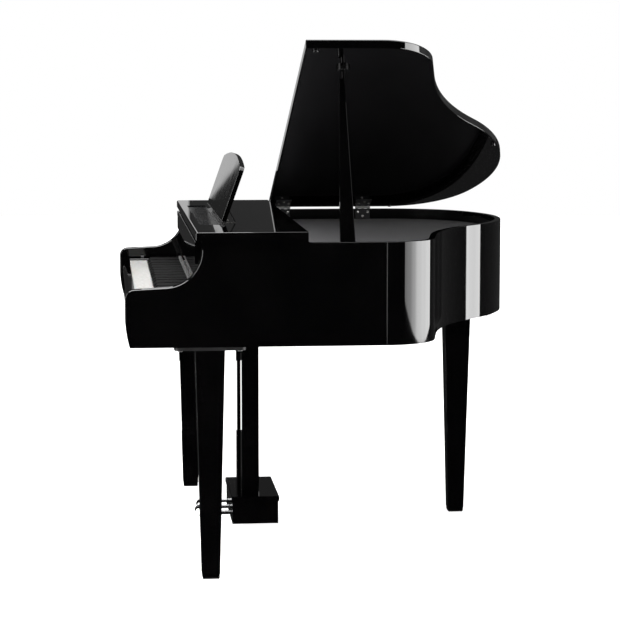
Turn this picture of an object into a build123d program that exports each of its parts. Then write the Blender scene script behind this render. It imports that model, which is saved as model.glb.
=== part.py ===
"""Compact grand-shaped digital piano: one STEP file per piece, in millimetres.

The model is drawn with Y = 0 at the lower front corner of the case and moved, when it is
written, so that the origin is on the floor under the middle of the whole piano.
+X is the player's right (treble), +Y runs from the keyboard to the tail, +Z is up.
"""
from build123d import *
import math
import os

# ---------------------------------------------------------------- driving dimensions
# Case
HALF_WIDTH = 700.0          # outer face of each side panel
CASE_BOTTOM = 627.0
RIM_TOP = 902.5
RIM_T = 18.0                # side panels and bent rim
SEAM_Y = 682.0              # straight side panel meets the bent rim
ARM_T = 36.0                # thickness of the arms beside the keys
ARM_END_Y = 196.0
ARM_EASE = 3.0              # rounding of the arms' edges
RIM_EASE = 0.4              # bevel of the rim's top edges
SEAM_EASE = 1.2             # bevel either side of the seam
FRONT_REACH = -12.0         # foremost point of the arms
BOTTOM_T = 18.0
BOTTOM_TOP = CASE_BOTTOM + BOTTOM_T
HALF_INSIDE = HALF_WIDTH - RIM_T
HALF_ARMS = HALF_WIDTH - ARM_T
# Speakers
SPEAKER_X = 380.0
SPEAKER_Y = 378.0
SPEAKER_HOLE_R = 56.0
# Tail outline: radii and headings of its tangent arcs, going round from the treble side
SHOULDER_R = 149.0
SHOULDER_TURN = 79.7
WAIST_RUN = 134.0
WAIST_R = 774.0
WAIST_TURN = 29.6
TAIL_R = 581.0
TAIL_TURN = 64.6
BASS_TURN = 180.0 - SHOULDER_TURN + WAIST_TURN - TAIL_TURN
# Top board
TOP_HALF = 715.0
TOP_FRONT = 175.0
TOP_BACK = 471.5
TOP_UNDER = 909.0
TOP_T = 23.0
TOP_FACE = TOP_UNDER + TOP_T
TOP_EASE = 0.8              # bevel of the board's end edges
RECESS_HALF = 430.0
RECESS_FRONT = 197.0
RECESS_BACK = 253.0
RECESS_DEPTH = 6.0
# Inner cover
COVER_TOP = 870.0
COVER_T = 4.0
RAIL_T = 16.0               # cross rail
# Lid, drawn closed and then turned open about its hinge pin
LID_OPEN = 21.2
LID_PIN_X = -678.0
LID_PIN_Z = 908.5
LID_UNDER = 913.5
LID_T = 25.0
LID_FRONT = 474.0
LID_OVERHANG = 4.0
LID_BASS_X = -681.5
HINGE_YS = (518.0, 780.0)
HINGE_W = 48.0
CUP_X = LID_PIN_X + 1236.0  # prop cup, as the lid lies closed
CUP_Y = 588.0
# Prop
PROP_X = 668.0
PROP_Y = 580.0
PROP_Z = 886.0
PROP_LEAN = 22.5
PROP_LENGTH = 509.0
PROP_W = 41.0
PROP_TIP_W = 13.0
PROP_T = 18.0
PROP_EASE = 1.2             # bevel of the stick's long edges
# Music rest
REST_HALF = 405.0
REST_LEAN = 19.5
REST_T = 13.0
REST_SIDE = 158.0
REST_APEX = 181.0
REST_PIN_Y = 272.0
REST_PIN_Z = 936.5
STRUT_X = 350.0
STRUT_LENGTH = 34.0
STRUT_PIVOT = 30.0
REST_HINGE_XS = (-250.0, 250.0)
EAR_W = 4.0
BARREL_W = 22.0
# Keyboard
KEY_SPAN = 1227.0
WHITE_COUNT = 52
PITCH = KEY_SPAN / WHITE_COUNT
KEY_GAP = 1.0
KEY_FRONT = 20.0
BLACK_FRONT = 73.0
BLACK_END = 174.0
KEY_TOP = 745.0
KEY_T = 20.0
BLACK_TOP = 757.0
KEY_PIVOT_Y = 250.0
KEY_PIVOT_Z = 715.0
KEY_BACK = 262.0
KEY_ROD_R = 2.5
HEAD_GAP = 3.0              # between a white key's head and the black key behind it
BLACK_W = 10.6
BLACK_SLOPE = 11.0
# Blocks at the ends of the keyboard, and their controls
END_BLOCK_TOP = 750.0
END_BLOCK_IN = KEY_SPAN / 2 + 2.0
END_BLOCK_BACK = 178.0
POWER_X = 640.0
POWER_Y = 60.0
POWER_R = 6.0
SLIDER_X = -640.0
SLIDER_Y = 60.0
SLIDER_SLOT = 46.0
# Key cover
FALL_HALF = 658.0
FALL_T = 12.0
FALL_PIVOT_Y = 192.0
FALL_PIVOT_Z = 772.0
FALL_TOP = 902.0
FLAP_BOTTOM = 845.0
FLAP_PIVOT_Y = 185.0
FLAP_PIVOT_Z = 903.0
FLAP_BARREL_R = 1.25
# Legs
LEG_TOP_W = 78.0
LEG_LOW_W = 49.0
LEG_LOW_Z = 23.0
FOOT_W = 46.0
FOOT_TOP = 13.0
PAD_T = 3.0
PLATE_W = 190.0
PLATE_T = 9.0
LEG_SPOTS = {
    "front_leg_treble": (661.0, 212.0),
    "front_leg_bass": (-661.0, 212.0),
    "rear_leg": (-169.0, 1008.0),
}
# Lyre
POST_IN = 84.0
POST_OUT = 138.0
POST_FRONT = 330.0
POST_BACK = 380.0
BOX_HALF = 155.0
BOX_FRONT = 301.0
BOX_BACK = 435.0
BOX_BOTTOM = 38.0
BOX_TOP = 105.0
BOX_WALL = 9.0
LYRE_LID_T = 14.0
PEDAL_XS = {"soft_pedal": -90.0, "sostenuto_pedal": 0.0, "damper_pedal": 90.0}
PEDAL_TIPS = {"soft_pedal": 205.0, "sostenuto_pedal": 197.0, "damper_pedal": 207.0}
PEDAL_Z = 60.0
PEDAL_T = 7.0
PEDAL_PIVOT_Y = 415.0
PEDAL_ROD_R = 4.0


# ---------------------------------------------------------------- small helpers
def block(x0, x1, y0, y1, z0, z1):
    """A box between two corners."""
    return Pos(x0, y0, z0) * Box(x1 - x0, y1 - y0, z1 - z0, align=(Align.MIN, Align.MIN, Align.MIN))


def slab(face, z0, z1):
    """A plan outline raised between two heights."""
    return Pos(0, 0, z0) * extrude(face, z1 - z0)


def across(face, x0, x1):
    """A side outline, drawn as (Y, Z), carried along X."""
    return Pos(x0, 0, 0) * extrude(Plane.YZ * face, x1 - x0)


def rod(x0, x1, y, z, r):
    """A round bar along X."""
    return Pos((x0 + x1) / 2, y, z) * Rot(0, 90, 0) * Cylinder(r, x1 - x0)


def rod_y(x, y0, y1, z, r):
    """A round bar along Y."""
    return Pos(x, (y0 + y1) / 2, z) * Rot(90, 0, 0) * Cylinder(r, y1 - y0)


def upright(x, y, z0, z1, r):
    """A round bar along Z."""
    return Pos(x, y, (z0 + z1) / 2) * Cylinder(r, z1 - z0)


def tail_outline(inset, front_y, bass_x=-HALF_WIDTH):
    """The case's plan outline, moved inwards by inset and closed straight across at front_y.

    Tangent arcs run from the treble side round the tail; the last radius is worked out so
    that the outline meets the straight bass side.
    """
    start = (HALF_WIDTH - inset, front_y)
    seam = (HALF_WIDTH - inset, SEAM_Y)
    shoulder = JernArc(seam, (0, 1), SHOULDER_R - inset, SHOULDER_TURN)
    run = Line(shoulder @ 1, shoulder @ 1 + (shoulder % 1) * WAIST_RUN)
    waist = JernArc(run @ 1, run % 1, WAIST_R + inset, -WAIST_TURN)
    tail = JernArc(waist @ 1, waist % 1, TAIL_R - inset, TAIL_TURN)
    turn = math.radians(270.0 - BASS_TURN)
    bass_r = ((tail @ 1).X - bass_x - inset) / (1 + math.sin(turn))
    bass = JernArc(tail @ 1, tail % 1, bass_r, BASS_TURN)
    back = Line(bass @ 1, ((bass @ 1).X, front_y))
    edges = [shoulder, run, waist, tail, bass, back, Line(back @ 1, start)]
    if front_y < SEAM_Y:
        edges.append(Line(start, seam))
    return make_face(edges)


def tail_reach():
    """How far back the tail outline reaches."""
    return tail_outline(0, SEAM_Y).bounding_box().max.Y


def lid_place():
    """Where the closed lid goes when it stands open on its prop."""
    pin = Pos(LID_PIN_X, 0, LID_PIN_Z)
    return pin * Rot(0, -LID_OPEN, 0) * pin.inverse()


def prop_place():
    """Where an upright prop goes when it leans in under the lid."""
    pivot = Pos(PROP_X, PROP_Y, PROP_Z)
    return pivot * Rot(0, -PROP_LEAN, 0)


def rest_place():
    """The music rest's plane: X along the rest, Y up its slope, Z out of its front face."""
    return Pos(0, REST_PIN_Y, REST_PIN_Z) * Rot(90 - REST_LEAN, 0, 0)


# ---------------------------------------------------------------- case
def arm_face():
    """Side view of an arm and its straight panel, as (Y, Z)."""
    nose_r = 25.0
    nose = (13.0, 756.0)
    scoop_r = 100.0
    scoop = (92.0, 885.0)
    half = math.sqrt(0.5)
    points_up = ThreePointArc((0, CASE_BOTTOM), (-7.5, 660), (FRONT_REACH, 703))
    front = Line((FRONT_REACH, 703), (FRONT_REACH, nose[1]))
    round_nose = ThreePointArc(
        (FRONT_REACH, nose[1]),
        (nose[0] - nose_r * half, nose[1] + nose_r * half),
        (nose[0], nose[1] + nose_r),
    )
    arm_top = Line((nose[0], nose[1] + nose_r), (scoop[0], scoop[1] - scoop_r))
    hollow = ThreePointArc(
        (scoop[0], scoop[1] - scoop_r),
        (scoop[0] + scoop_r * half, scoop[1] - scoop_r * half),
        (scoop[0] + scoop_r, scoop[1]),
    )
    neck = Line((scoop[0] + scoop_r, scoop[1]), (188, TOP_UNDER))
    under_top = Line((188, TOP_UNDER), (TOP_BACK + 0.5, TOP_UNDER))
    step = ThreePointArc((TOP_BACK + 0.5, TOP_UNDER), (474, 904.5), (480, RIM_TOP))
    top = Line((480, RIM_TOP), (SEAM_Y, RIM_TOP))
    end = Line((SEAM_Y, RIM_TOP), (SEAM_Y, CASE_BOTTOM))
    bottom = Line((SEAM_Y, CASE_BOTTOM), (0, CASE_BOTTOM))
    outline = [points_up, front, round_nose, arm_top, hollow, neck, under_top, step, top, end, bottom]
    return make_face(outline)


def treble_side():
    """Side panel with the thicker arm beside the keys, its edges eased for lacquer."""
    face = arm_face()
    panel = across(face, HALF_INSIDE, HALF_WIDTH)
    arm = across(face, HALF_ARMS, HALF_INSIDE) & block(0, HALF_WIDTH, -50, ARM_END_Y, BOTTOM_TOP, TOP_UNDER)
    side = panel + arm
    side = fillet(side.edges().filter_by(on_arm_edge), ARM_EASE)
    for x in (HALF_INSIDE, HALF_WIDTH):
        side -= rim_bevel(x)
    side = fillet(side.edges().filter_by(on_seam_edge), SEAM_EASE)
    under_board = side.edges().filter_by(Axis.Y).filter_by(
        lambda e: (e @ 0.5).Z > TOP_UNDER - 0.1 and (e @ 0.5).X > HALF_WIDTH - 0.1
    )
    return fillet(under_board, TOP_EASE) if len(under_board) else side


def on_arm_edge(edge):
    """True for the long edges along the arm's nose, top and scoop, on both of its faces."""
    middle = edge @ 0.5
    lengthwise = abs((edge % 0.5).X) < 0.1
    faces = abs(middle.X - HALF_WIDTH) < 0.01 or abs(middle.X - HALF_ARMS) < 0.01
    above = BOTTOM_TOP + 1 < middle.Z < TOP_UNDER - 1
    return lengthwise and faces and above and middle.Y < 191.5


def rim_bevel(x):
    """Square bar set on its corner; cut away, it bevels a side panel's top edge at x."""
    width = RIM_EASE * math.sqrt(2)
    start = TOP_BACK + 10
    length = SEAM_Y + 1 - start
    return Pos(x, start + length / 2, RIM_TOP) * Rot(0, 45, 0) * Box(width, length, width)


def on_seam_edge(edge):
    """True for the outer upright edge at the seam between side panel and bent rim."""
    middle = edge @ 0.5
    upright_edge = abs((edge % 0.5).Z) > 0.9
    return upright_edge and abs(middle.Y - SEAM_Y) < 0.1 and abs(middle.X) > HALF_WIDTH - 0.1


def bent_rim():
    """The curved shell round the tail, its top edges and seams bevelled."""
    ring = tail_outline(0, SEAM_Y) - tail_outline(RIM_T, SEAM_Y)
    rim = slab(ring, CASE_BOTTOM, RIM_TOP)
    top_edges = rim.faces().sort_by(Axis.Z)[-1].edges()
    rim = chamfer(top_edges.filter_by(lambda e: (e @ 0.5).Y > SEAM_Y + 1), RIM_EASE)
    return chamfer(rim.edges().filter_by(on_seam_edge), SEAM_EASE / 2)


def bottom_board():
    """Floor of the case, with a round hole over each speaker grille."""
    board = slab(tail_outline(RIM_T, 0), CASE_BOTTOM, BOTTOM_TOP)
    for x in (-SPEAKER_X, SPEAKER_X):
        board -= upright(x, SPEAKER_Y, CASE_BOTTOM - 1, BOTTOM_TOP + 1, SPEAKER_HOLE_R)
    return board


def speakers():
    """Two woofers on the bottom board, facing down through it."""
    parts = []
    for x in (-SPEAKER_X, SPEAKER_X):
        flange = upright(0, 0, BOTTOM_TOP, BOTTOM_TOP + 4, 65.0)
        basket = Pos(0, 0, BOTTOM_TOP + 4 + 17) * Cone(56.0, 30.0, 34.0)
        magnet = upright(0, 0, BOTTOM_TOP + 38, BOTTOM_TOP + 56, 36.0)
        driver = flange + basket + magnet
        driver -= Pos(0, 0, BOTTOM_TOP + 15) * Cone(50.0, 12.0, 30.0)
        parts.append(Pos(x, SPEAKER_Y, 0) * driver)
    return parts


def speaker_grilles():
    """A slotted disc under each speaker hole."""
    parts = []
    for x in (-SPEAKER_X, SPEAKER_X):
        disc = upright(0, 0, CASE_BOTTOM - 3, CASE_BOTTOM, 68.0)
        for row in range(-4, 5):
            y = row * 12.0
            half = math.sqrt(54.0**2 - y**2)
            disc -= block(-half, half, y - 2.5, y + 2.5, CASE_BOTTOM - 4, CASE_BOTTOM + 1)
        parts.append(Pos(x, SPEAKER_Y, 0) * disc)
    return parts


def cross_rail():
    """Wall under the back edge of the top board, in front of the inner cover."""
    return block(-HALF_INSIDE, HALF_INSIDE, TOP_BACK - RAIL_T, TOP_BACK, BOTTOM_TOP, TOP_UNDER)


def inner_cover():
    """Thin matt board that closes the case inside the rim."""
    return slab(tail_outline(RIM_T + 0.5, TOP_BACK), COVER_TOP - COVER_T, COVER_TOP)


def cover_ledge():
    """Batten glued round the inside of the rim to carry the inner cover."""
    ring = tail_outline(RIM_T, TOP_BACK) - tail_outline(RIM_T + 12, TOP_BACK)
    return slab(ring, COVER_TOP - COVER_T - 12, COVER_TOP - COVER_T)


def top_board():
    """Fixed board over the keyboard, with a shallow recess for the touch panel."""
    board = block(-TOP_HALF, TOP_HALF, TOP_FRONT, TOP_BACK, TOP_UNDER, TOP_FACE)
    front = board.edges().filter_by(Axis.X).filter_by(lambda e: (e @ 0.5).Y < TOP_FRONT + 1)
    board = fillet(front.sort_by(Axis.Z)[-1], 5.0)
    front = board.edges().filter_by(Axis.X).filter_by(lambda e: (e @ 0.5).Z < TOP_UNDER + 0.1)
    board = fillet(front.sort_by(Axis.Y)[0], 3.0)
    ends = board.edges().filter_by(Axis.Y).filter_by(lambda e: (e @ 0.5).Z > TOP_FACE - 0.1)
    board = chamfer(ends, TOP_EASE)
    floor = TOP_FACE - RECESS_DEPTH
    recess = block(-RECESS_HALF, RECESS_HALF, RECESS_FRONT, RECESS_BACK, floor, TOP_FACE + 1)
    return board - recess


def control_panel():
    """Touch panel set in the recess."""
    gap = 1.0
    low = TOP_FACE - RECESS_DEPTH
    return block(-RECESS_HALF + gap, RECESS_HALF - gap, RECESS_FRONT + gap, RECESS_BACK - gap, low, low + 3)


def key_slip():
    """Board in front of the keys, its top edge rounded towards the player."""
    top = 737.0
    back = KEY_FRONT - 1.5
    front = -4.0
    r = 14.0
    half = math.sqrt(0.5)
    rise = Line((0, BOTTOM_TOP), (front, top - r))
    lip = ThreePointArc((front, top - r), (front + r - r * half, top - r + r * half), (front + r, top))
    face = make_face([
        rise,
        lip,
        Line((front + r, top), (back, top)),
        Line((back, top), (back, BOTTOM_TOP)),
        Line((back, BOTTOM_TOP), (0, BOTTOM_TOP)),
    ])
    return across(face, -HALF_ARMS, HALF_ARMS)


def end_block():
    """Block between the last key and the arm, on the treble side."""
    body = block(END_BLOCK_IN, HALF_ARMS, KEY_FRONT - 1.5, END_BLOCK_BACK, BOTTOM_TOP, END_BLOCK_TOP)
    top_edges = body.faces().sort_by(Axis.Z)[-1].edges()
    return fillet(top_edges.filter_by(lambda e: (e @ 0.5).X < HALF_ARMS - 1), 2.0)


def treble_end_block():
    """End block with a blind hole for the power button."""
    return end_block() - upright(POWER_X, POWER_Y, END_BLOCK_TOP - 14, END_BLOCK_TOP + 1, POWER_R + 0.5)


def bass_end_block():
    """End block with a slot for the volume slider."""
    slot = block(
        SLIDER_X - 2.5, SLIDER_X + 2.5,
        SLIDER_Y - SLIDER_SLOT / 2, SLIDER_Y + SLIDER_SLOT / 2,
        END_BLOCK_TOP - 10, END_BLOCK_TOP + 1,
    )
    return mirror(end_block(), Plane.YZ) - slot


def power_button():
    """Round push button, standing 3 mm out of the end block."""
    button = upright(POWER_X, POWER_Y, END_BLOCK_TOP - 8, END_BLOCK_TOP + 3, POWER_R)
    return fillet(button.edges().sort_by(Axis.Z)[-1], 1.0)


def volume_slider():
    """Slider knob on a thin stem that runs in the slot."""
    top = END_BLOCK_TOP
    stem = block(SLIDER_X - 2, SLIDER_X + 2, SLIDER_Y - 3, SLIDER_Y + 3, top - 8, top + 1.5)
    knob = block(SLIDER_X - 6, SLIDER_X + 6, SLIDER_Y - 5, SLIDER_Y + 5, top + 1, top + 8)
    return stem + chamfer(knob.edges().filter_by(lambda e: (e @ 0.5).Z > END_BLOCK_TOP + 7), 1.0)


def felt_rail():
    """Strip behind the black keys; the key shafts pass under it."""
    return block(-END_BLOCK_IN, END_BLOCK_IN, BLACK_END + 2, BLACK_END + 10, KEY_TOP + 2, KEY_TOP + 14)


# ---------------------------------------------------------------- keyboard
def key_frame():
    """Chassis under the keys: base, front stop rail and pivot rail."""
    half = KEY_SPAN / 2 - 1
    base = block(-half, half, 26, 300, BOTTOM_TOP, BOTTOM_TOP + 6)
    stop = block(-half, half, 30, 48, BOTTOM_TOP + 6, 708)
    pivot = block(-half, half, 238, 262, BOTTOM_TOP + 6, KEY_PIVOT_Z - KEY_ROD_R - 5.5)
    ribs = []
    for n in range(9):
        x = -half + n * (2 * half - 8) / 8
        ribs.append(block(x, x + 8, 48, 238, BOTTOM_TOP + 6, BOTTOM_TOP + 36))
    frame = base + stop + pivot
    for rib in ribs:
        frame += rib
    return frame


def key_rod():
    """The rod that every key pivots on, on small saddles between the octaves."""
    half = KEY_SPAN / 2 - 1
    bar = rod(-half, half, KEY_PIVOT_Y, KEY_PIVOT_Z, KEY_ROD_R)
    low = KEY_PIVOT_Z - KEY_ROD_R - 5.5
    for white in range(0, WHITE_COUNT + 1, 4):
        x = -KEY_SPAN / 2 + white * PITCH
        x = min(max(x, -half + 0.4), half - 0.4)
        bar += block(x - 0.4, x + 0.4, KEY_PIVOT_Y - 2, KEY_PIVOT_Y + 2, low, KEY_PIVOT_Z)
    return bar


# The octave as two groups: three white keys share five equal tails, four share seven.
GROUPS = [
    (3, ["c", "c_sharp", "d", "d_sharp", "e"]),
    (4, ["f", "f_sharp", "g", "g_sharp", "a", "a_sharp", "b"]),
]
WHITE_NAMES = ["c", "d", "e", "f", "g", "a", "b"]
BLACK_NAMES = ["c_sharp", "d_sharp", "f_sharp", "g_sharp", "a_sharp"]
FIRST_C = 2                  # two white keys, A and B, lie below the first C


def tail_span(name):
    """Where a key's tail lies in its octave, from the octave's left edge."""
    left = 0.0
    for whites, names in GROUPS:
        slot = whites * PITCH / len(names)
        if name in names:
            n = names.index(name)
            return left + n * slot, left + (n + 1) * slot
        left += whites * PITCH
    raise ValueError(name)


def side_shape(front, top, slope):
    """Side view of a key as (Y, Z): its shaft, and the hook over the pivot rod."""
    low = KEY_TOP - KEY_T
    arch = KEY_ROD_R + 0.3
    foot = KEY_PIVOT_Z - 1.5
    face_front = [(front, low), (front, KEY_TOP)]
    if slope > 0:
        face_front.append((front + slope, top))
    upper = Polyline(
        *face_front,
        (BLACK_END, top),
        (BLACK_END, KEY_TOP - 1),
        (KEY_BACK, KEY_TOP - 1),
        (KEY_BACK, foot),
        (KEY_PIVOT_Y + arch, foot),
        (KEY_PIVOT_Y + arch, KEY_PIVOT_Z),
    )
    hook = ThreePointArc(
        (KEY_PIVOT_Y + arch, KEY_PIVOT_Z),
        (KEY_PIVOT_Y, KEY_PIVOT_Z + arch),
        (KEY_PIVOT_Y - arch, KEY_PIVOT_Z),
    )
    lower = Polyline(
        (KEY_PIVOT_Y - arch, KEY_PIVOT_Z),
        (KEY_PIVOT_Y - arch, foot),
        (KEY_PIVOT_Y - arch - 6, foot),
        (KEY_PIVOT_Y - arch - 6, low),
        (front, low),
    )
    return make_face([upper, hook, lower])


def white_key(name, octave_left, whole_left=False, whole_right=False):
    """A white key: full-width head, tail narrowed beside its black neighbours."""
    n = WHITE_NAMES.index(name)
    head0 = octave_left + n * PITCH + KEY_GAP / 2
    head1 = head0 + PITCH - KEY_GAP
    tail0, tail1 = tail_span(name)
    tail0 = head0 if whole_left else max(head0, octave_left + tail0 + KEY_GAP / 2)
    tail1 = head1 if whole_right else min(head1, octave_left + tail1 - KEY_GAP / 2)
    side = side_shape(KEY_FRONT, KEY_TOP, 0.0)
    head_end = BLACK_FRONT - HEAD_GAP
    head = across(side, head0, head1) & block(head0, head1, 0, head_end, 0, TOP_UNDER)
    tail = across(side, tail0, tail1) & block(tail0, tail1, head_end - 1, KEY_BACK, 0, TOP_UNDER)
    return head + tail


def black_key(name, octave_left):
    """A black key with its sloping front."""
    tail0, tail1 = tail_span(name)
    middle = octave_left + (tail0 + tail1) / 2
    side = side_shape(BLACK_FRONT, BLACK_TOP, BLACK_SLOPE)
    return across(side, middle - BLACK_W / 2, middle + BLACK_W / 2)


def keys(name):
    """All keys of one note name, from the bottom octave to the top."""
    found = []
    for octave in range(-1, 8):
        left = -KEY_SPAN / 2 + (FIRST_C + 7 * octave) * PITCH
        if octave == -1 and name not in ("a", "a_sharp", "b"):
            continue
        if octave == 7 and name != "c":
            continue
        if name in BLACK_NAMES:
            found.append(black_key(name, left))
        else:
            lowest = octave == -1 and name == "a"
            highest = octave == 7
            found.append(white_key(name, left, whole_left=lowest, whole_right=highest))
    return found


# ---------------------------------------------------------------- key cover
def fall_panel():
    """Standing part of the key cover, pivoted at its lower edge."""
    low = FALL_PIVOT_Z - 6
    front = FALL_PIVOT_Y - FALL_T / 2
    panel = block(-FALL_HALF, FALL_HALF, front, front + FALL_T, low, FALL_TOP)
    panel = fillet(panel.edges().filter_by(Axis.X).filter_by(lambda e: (e @ 0.5).Z < low + 1), 4.0)
    pins = rod(-FALL_HALF - 4, FALL_HALF + 4, FALL_PIVOT_Y, FALL_PIVOT_Z, 3.0)
    return panel + pins


def fall_flap():
    """Folding front part of the key cover, hung on the panel's upper edge."""
    back = FLAP_PIVOT_Y
    flap = block(-FALL_HALF, FALL_HALF, back - FALL_T + 1, back - 0.5, FLAP_BOTTOM, FALL_TOP)
    flap = fillet(flap.edges().filter_by(Axis.X).filter_by(lambda e: (e @ 0.5).Y < back - 5), 3.0)
    leaf = block(-FALL_HALF, FALL_HALF, back - 1.5, back, FALL_TOP - 1, FLAP_PIVOT_Z)
    leaf -= block(-FALL_HALF - 1, FALL_HALF + 1, back - 0.5, back + 1, 0, FALL_TOP)
    barrel = rod(-FALL_HALF, FALL_HALF, back, FLAP_PIVOT_Z, FLAP_BARREL_R)
    return flap + leaf + barrel


# ---------------------------------------------------------------- music rest
def rest_board():
    """The rest itself: straight sides and a gently arched top."""
    outline = make_face([
        Line((-REST_HALF, 0), (REST_HALF, 0)),
        Line((REST_HALF, 0), (REST_HALF, REST_SIDE)),
        ThreePointArc((REST_HALF, REST_SIDE), (0, REST_APEX), (-REST_HALF, REST_SIDE)),
        Line((-REST_HALF, REST_SIDE), (-REST_HALF, 0)),
    ])
    outline = fillet(outline.vertices().filter_by(lambda v: v.Y > 1), 22.0)
    board = Pos(0, 0, 1.0) * extrude(outline, REST_T)
    board = fillet(board.edges().filter_by(lambda e: (e @ 0.5).Z > REST_T + 0.9), 1.5)
    half = BARREL_W / 2 + EAR_W + 1
    for x in REST_HINGE_XS:
        board -= block(x - half, x + half, -1, 4.5, 0, 4.5)
    return rest_place() * board


def rest_hinge_base():
    """Two brackets screwed to the top board, each with two ears and a pin."""
    parts = []
    for x in REST_HINGE_XS:
        bracket = block(x - 20, x + 20, REST_PIN_Y - 6, REST_PIN_Y + 16, TOP_FACE, TOP_FACE + 1.2)
        for side in (-1, 1):
            middle = x + side * (BARREL_W / 2 + 0.5 + EAR_W / 2)
            bracket += rod(middle - EAR_W / 2, middle + EAR_W / 2, REST_PIN_Y, REST_PIN_Z, 3.0)
            left = middle - EAR_W / 2
            bracket += block(left, left + EAR_W, REST_PIN_Y - 3, REST_PIN_Y + 3, TOP_FACE + 1, REST_PIN_Z)
        bracket += rod(x - BARREL_W / 2 - 2, x + BARREL_W / 2 + 2, REST_PIN_Y, REST_PIN_Z, 1.5)
        parts.append(bracket)
    return parts


def rest_hinge_leaves():
    """Barrel and leaf on the rest, running on each bracket's pin."""
    parts = []
    for x in REST_HINGE_XS:
        barrel = rod(x - BARREL_W / 2, x + BARREL_W / 2, 0, 0, 3.0)
        leaf = block(x - BARREL_W / 2, x + BARREL_W / 2, 0, 24, 0.2, 1.0)
        part = barrel + leaf - rod(x - 30, x + 30, 0, 0, 1.55)
        parts.append(rest_place() * part)
    return parts


def rest_struts():
    """Two stays behind the rest, pivoted on its back; each foot stands on a small plate."""
    angle = strut_angle()
    parts = []
    for x in (-STRUT_X, STRUT_X):
        stay = block(x - 4, x + 4, 0, STRUT_LENGTH, -1.5, 1.5)
        stay = fillet(stay.edges().filter_by(Axis.X).filter_by(lambda e: (e @ 0.5).Y > 1), 1.2)
        knuckle = rod(x - 4, x + 4, 0, 0, 1.7)
        parts.append(rest_place() * Pos(0, STRUT_PIVOT, -2.5) * Rot(angle, 0, 0) * (stay + knuckle))
    return parts


def strut_angle():
    """Turn of the strut from lying up the rest's back to standing on the board."""
    return -132.0


def rest_brackets():
    """What the rest is screwed to: its hinge brackets and the small plates its struts stand on."""
    feet = []
    for x in (-STRUT_X, STRUT_X):
        feet.append(block(x - 7, x + 7, REST_PIN_Y + 2, REST_PIN_Y + 28.3, TOP_FACE, TOP_FACE + 0.8))
    return rest_hinge_base() + feet


# ---------------------------------------------------------------- lid and prop
def lid():
    """The lid board, following the case outline with a small overhang."""
    outline = tail_outline(-LID_OVERHANG, LID_FRONT, bass_x=LID_BASS_X - LID_OVERHANG)
    board = slab(outline, LID_UNDER, LID_UNDER + LID_T)
    top = board.faces().sort_by(Axis.Z)[-1].edges()
    board = fillet(top, 4.0)
    board = fillet(board.faces().sort_by(Axis.Z)[0].edges(), 3.0)
    return lid_place() * board


def rim_hinge_leaves():
    """Fixed halves of the lid's butt hinges, on the inside of the bass side."""
    parts = []
    for y in HINGE_YS:
        leaf = block(-HALF_INSIDE, -HALF_INSIDE + 2, y - HINGE_W / 2, y + HINGE_W / 2, 871, LID_PIN_Z)
        step = HINGE_W / 5
        for n in (1, 3):
            low = y - HINGE_W / 2 + n * step - 0.15
            high = low + step + 0.3
            leaf -= block(-HALF_INSIDE - 1, -HALF_INSIDE + 3, low, high, LID_PIN_Z - 5, LID_PIN_Z + 1)
        for n in (0, 2, 4):
            leaf += knuckle(y, n)
        leaf -= rod_y(LID_PIN_X, y - 40, y + 40, LID_PIN_Z, 1.5)
        for dy, z in ((-16, 893), (16, 893), (0, 879)):
            leaf += Pos(-HALF_INSIDE + 2.4, y + dy, z) * Rot(0, 90, 0) * Cylinder(3.2, 1.2)
        parts.append(leaf)
    return parts


def knuckle(y, n):
    """The nth of a hinge's five knuckles."""
    step = HINGE_W / 5
    low = y - HINGE_W / 2 + n * step
    return rod_y(LID_PIN_X, low + 0.15, low + step - 0.15, LID_PIN_Z, 4.0)


def lid_hinge_leaves():
    """Moving halves of the lid's butt hinges, screwed to its underside."""
    parts = []
    for y in HINGE_YS:
        step = HINGE_W / 5
        front = y - HINGE_W / 2
        leaf = block(LID_PIN_X + 5, LID_PIN_X + 65, front, front + HINGE_W, LID_UNDER - 2, LID_UNDER)
        for n in (1, 3):
            low = front + n * step + 0.15
            high = low + step - 0.3
            leaf += block(LID_PIN_X, LID_PIN_X + 6, low, high, LID_UNDER - 3, LID_UNDER - 1)
            leaf += knuckle(y, n)
        leaf -= rod_y(LID_PIN_X, y - 40, y + 40, LID_PIN_Z, 1.56)
        for dx, dy in ((32, -16), (32, 16), (50, 0)):
            leaf += upright(LID_PIN_X + dx, y + dy, LID_UNDER - 3, LID_UNDER - 1.5, 3.2)
        parts.append(lid_place() * leaf)
    return parts


def lid_hinge_pins():
    """Pins of the two butt hinges."""
    return [rod_y(LID_PIN_X, y - HINGE_W / 2 - 1, y + HINGE_W / 2 + 1, LID_PIN_Z, 1.5) for y in HINGE_YS]


def prop_cup():
    """Horseshoe cup under the lid; it is open towards the hinges so that the prop can swing out."""
    cup = upright(CUP_X, CUP_Y, LID_UNDER - 9, LID_UNDER, 19.0)
    well = upright(CUP_X, CUP_Y, LID_UNDER - 10, LID_UNDER - 2, 9.5)
    way = block(CUP_X - 30, CUP_X, CUP_Y - 9.5, CUP_Y + 9.5, LID_UNDER - 10, LID_UNDER - 2)
    return lid_place() * (cup - well - way)


def lid_bumpers():
    """Rubber buttons under the lid that meet the rim when it is shut."""
    parts = []
    for x, y, r, drop in ((688, 501, 8.5, 8.0), (-72, 1109, 7.0, 8.0), (-670, 867, 6.0, 6.0)):
        button = upright(x, y, LID_UNDER - drop, LID_UNDER, r)
        button = fillet(button.edges().sort_by(Axis.Z)[0], 2.5)
        parts.append(lid_place() * button)
    return parts


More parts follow.
